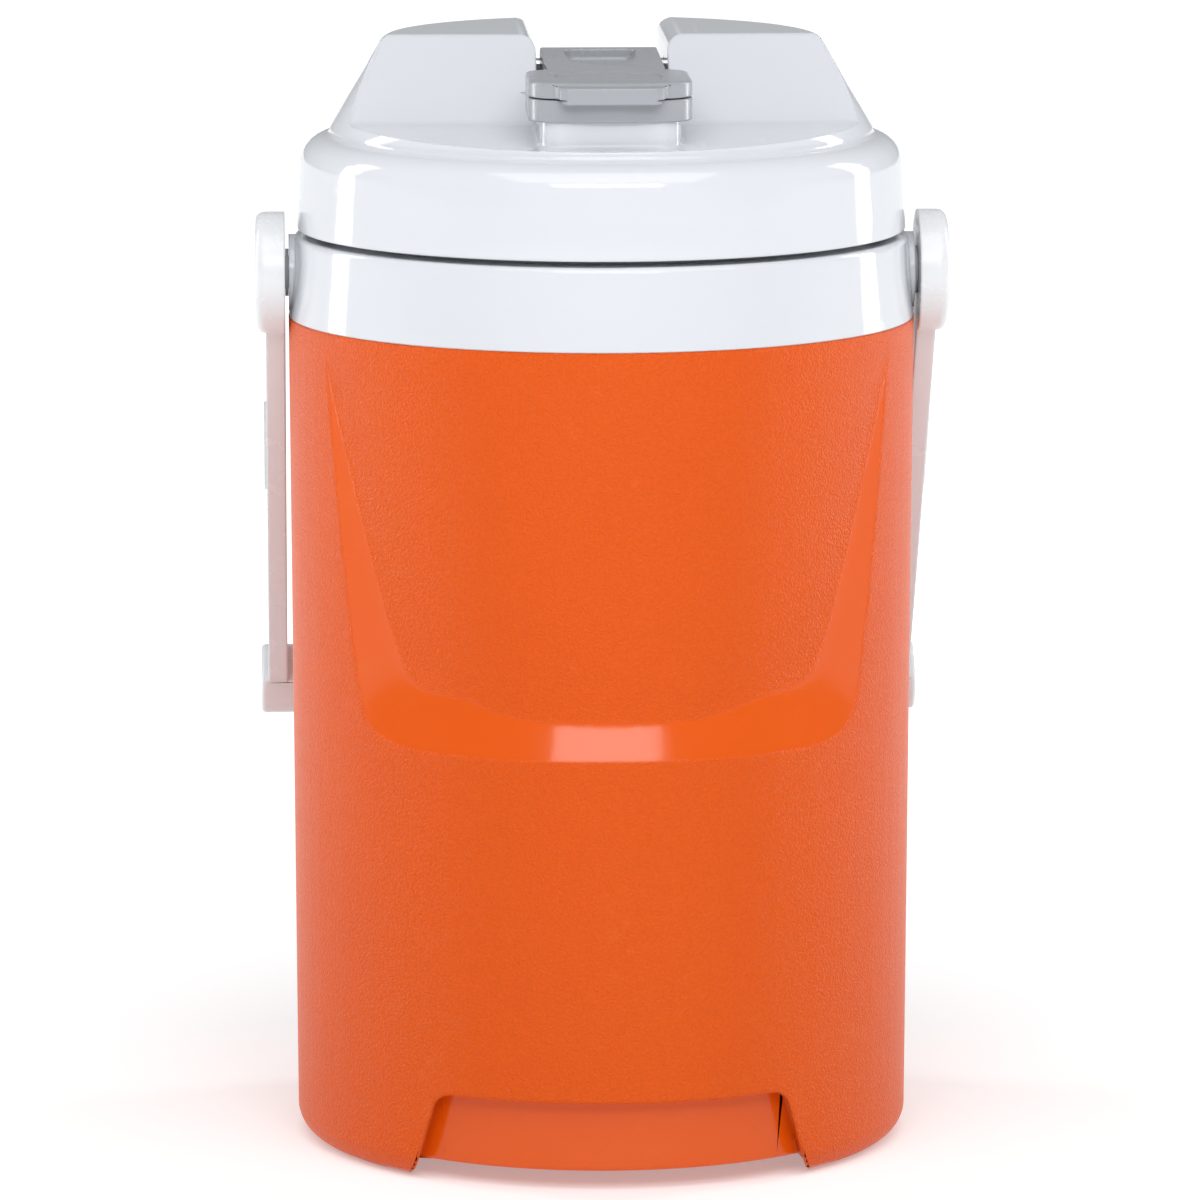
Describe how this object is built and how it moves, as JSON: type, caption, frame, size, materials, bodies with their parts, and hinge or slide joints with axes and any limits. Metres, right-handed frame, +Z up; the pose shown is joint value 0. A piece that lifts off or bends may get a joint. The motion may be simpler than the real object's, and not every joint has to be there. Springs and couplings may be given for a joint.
{
  "type": "insulated drinks jug",
  "caption": "Insulated half-gallon drinks jug with a screw lid, a flip-top drinking spout and a swinging bail handle.",
  "frame": {"origin": "middle of the base on the surface the jug stands on, on the axis of the round body", "axes": "+Z up along the body's axis, -Y towards the front with the drinking spout, +X along the handle's pivot axis"},
  "size_m": [0.168, 0.1696, 0.27],
  "materials": {
    "orange_shell": "fine pebble grain, satin where smooth",
    "white_plastic": "glossy moulded white",
    "liner_white": "satin food-grade white",
    "grey_plastic": "semi-gloss mid grey",
    "foam": "closed-cell insulating foam",
    "plug_orange": "same colour as the shell",
    "washer_grey": "slippery natural plastic",
    "silicone": "translucent soft silicone",
    "pin_steel": "drawn stainless pin"
  },
  "bodies": {
    "jug": {"outer_shell": "orange_shell", "body_foam": "foam", "inner_liner": "liner_white", "collar_ring": "white_plastic", "base_plug": "plug_orange", "pivot_studs": "white_plastic", "pivot_washers": "washer_grey"},
    "handle": {"bail_handle": "white_plastic", "hub_caps": "white_plastic"},
    "lid_seal": {"lid_gasket": "silicone"},
    "lid": {"lid_shell": "white_plastic", "lid_foam": "foam", "lid_liner": "liner_white", "spout_tube": "white_plastic", "spout_seal": "silicone", "spout_ring": "grey_plastic", "cap_hinge_pin": "pin_steel"},
    "cap": {"flip_cap": "grey_plastic", "cap_seal": "silicone"}
  },
  "joints": [
    {"name": "handle_swing", "type": "hinge", "parent": "jug", "child": "handle", "pos_m": [0, 0, 0.2125], "axis": [1, 0, 0], "range_deg": [0, 287]},
    {"name": "lid_rise", "type": "slide", "parent": "jug", "child": "lid_seal", "axis": [0, 0, 1], "range_m": [0, 0.0053]},
    {"name": "lid_turn", "type": "hinge", "parent": "lid_seal", "child": "lid", "pos_m": [0, 0, 0.235], "axis": [0, 0, 1], "range_deg": [0, 105]},
    {"name": "cap_flip", "type": "hinge", "parent": "lid", "child": "cap", "pos_m": [0, 0.0175, 0.2612], "axis": [-1, 0, 0], "range_deg": [0, 160]}
  ],
  "couplings": [
    {"joint": "lid_rise", "follows": "lid_turn", "m_per_rad": 0.0028648}
  ]
}
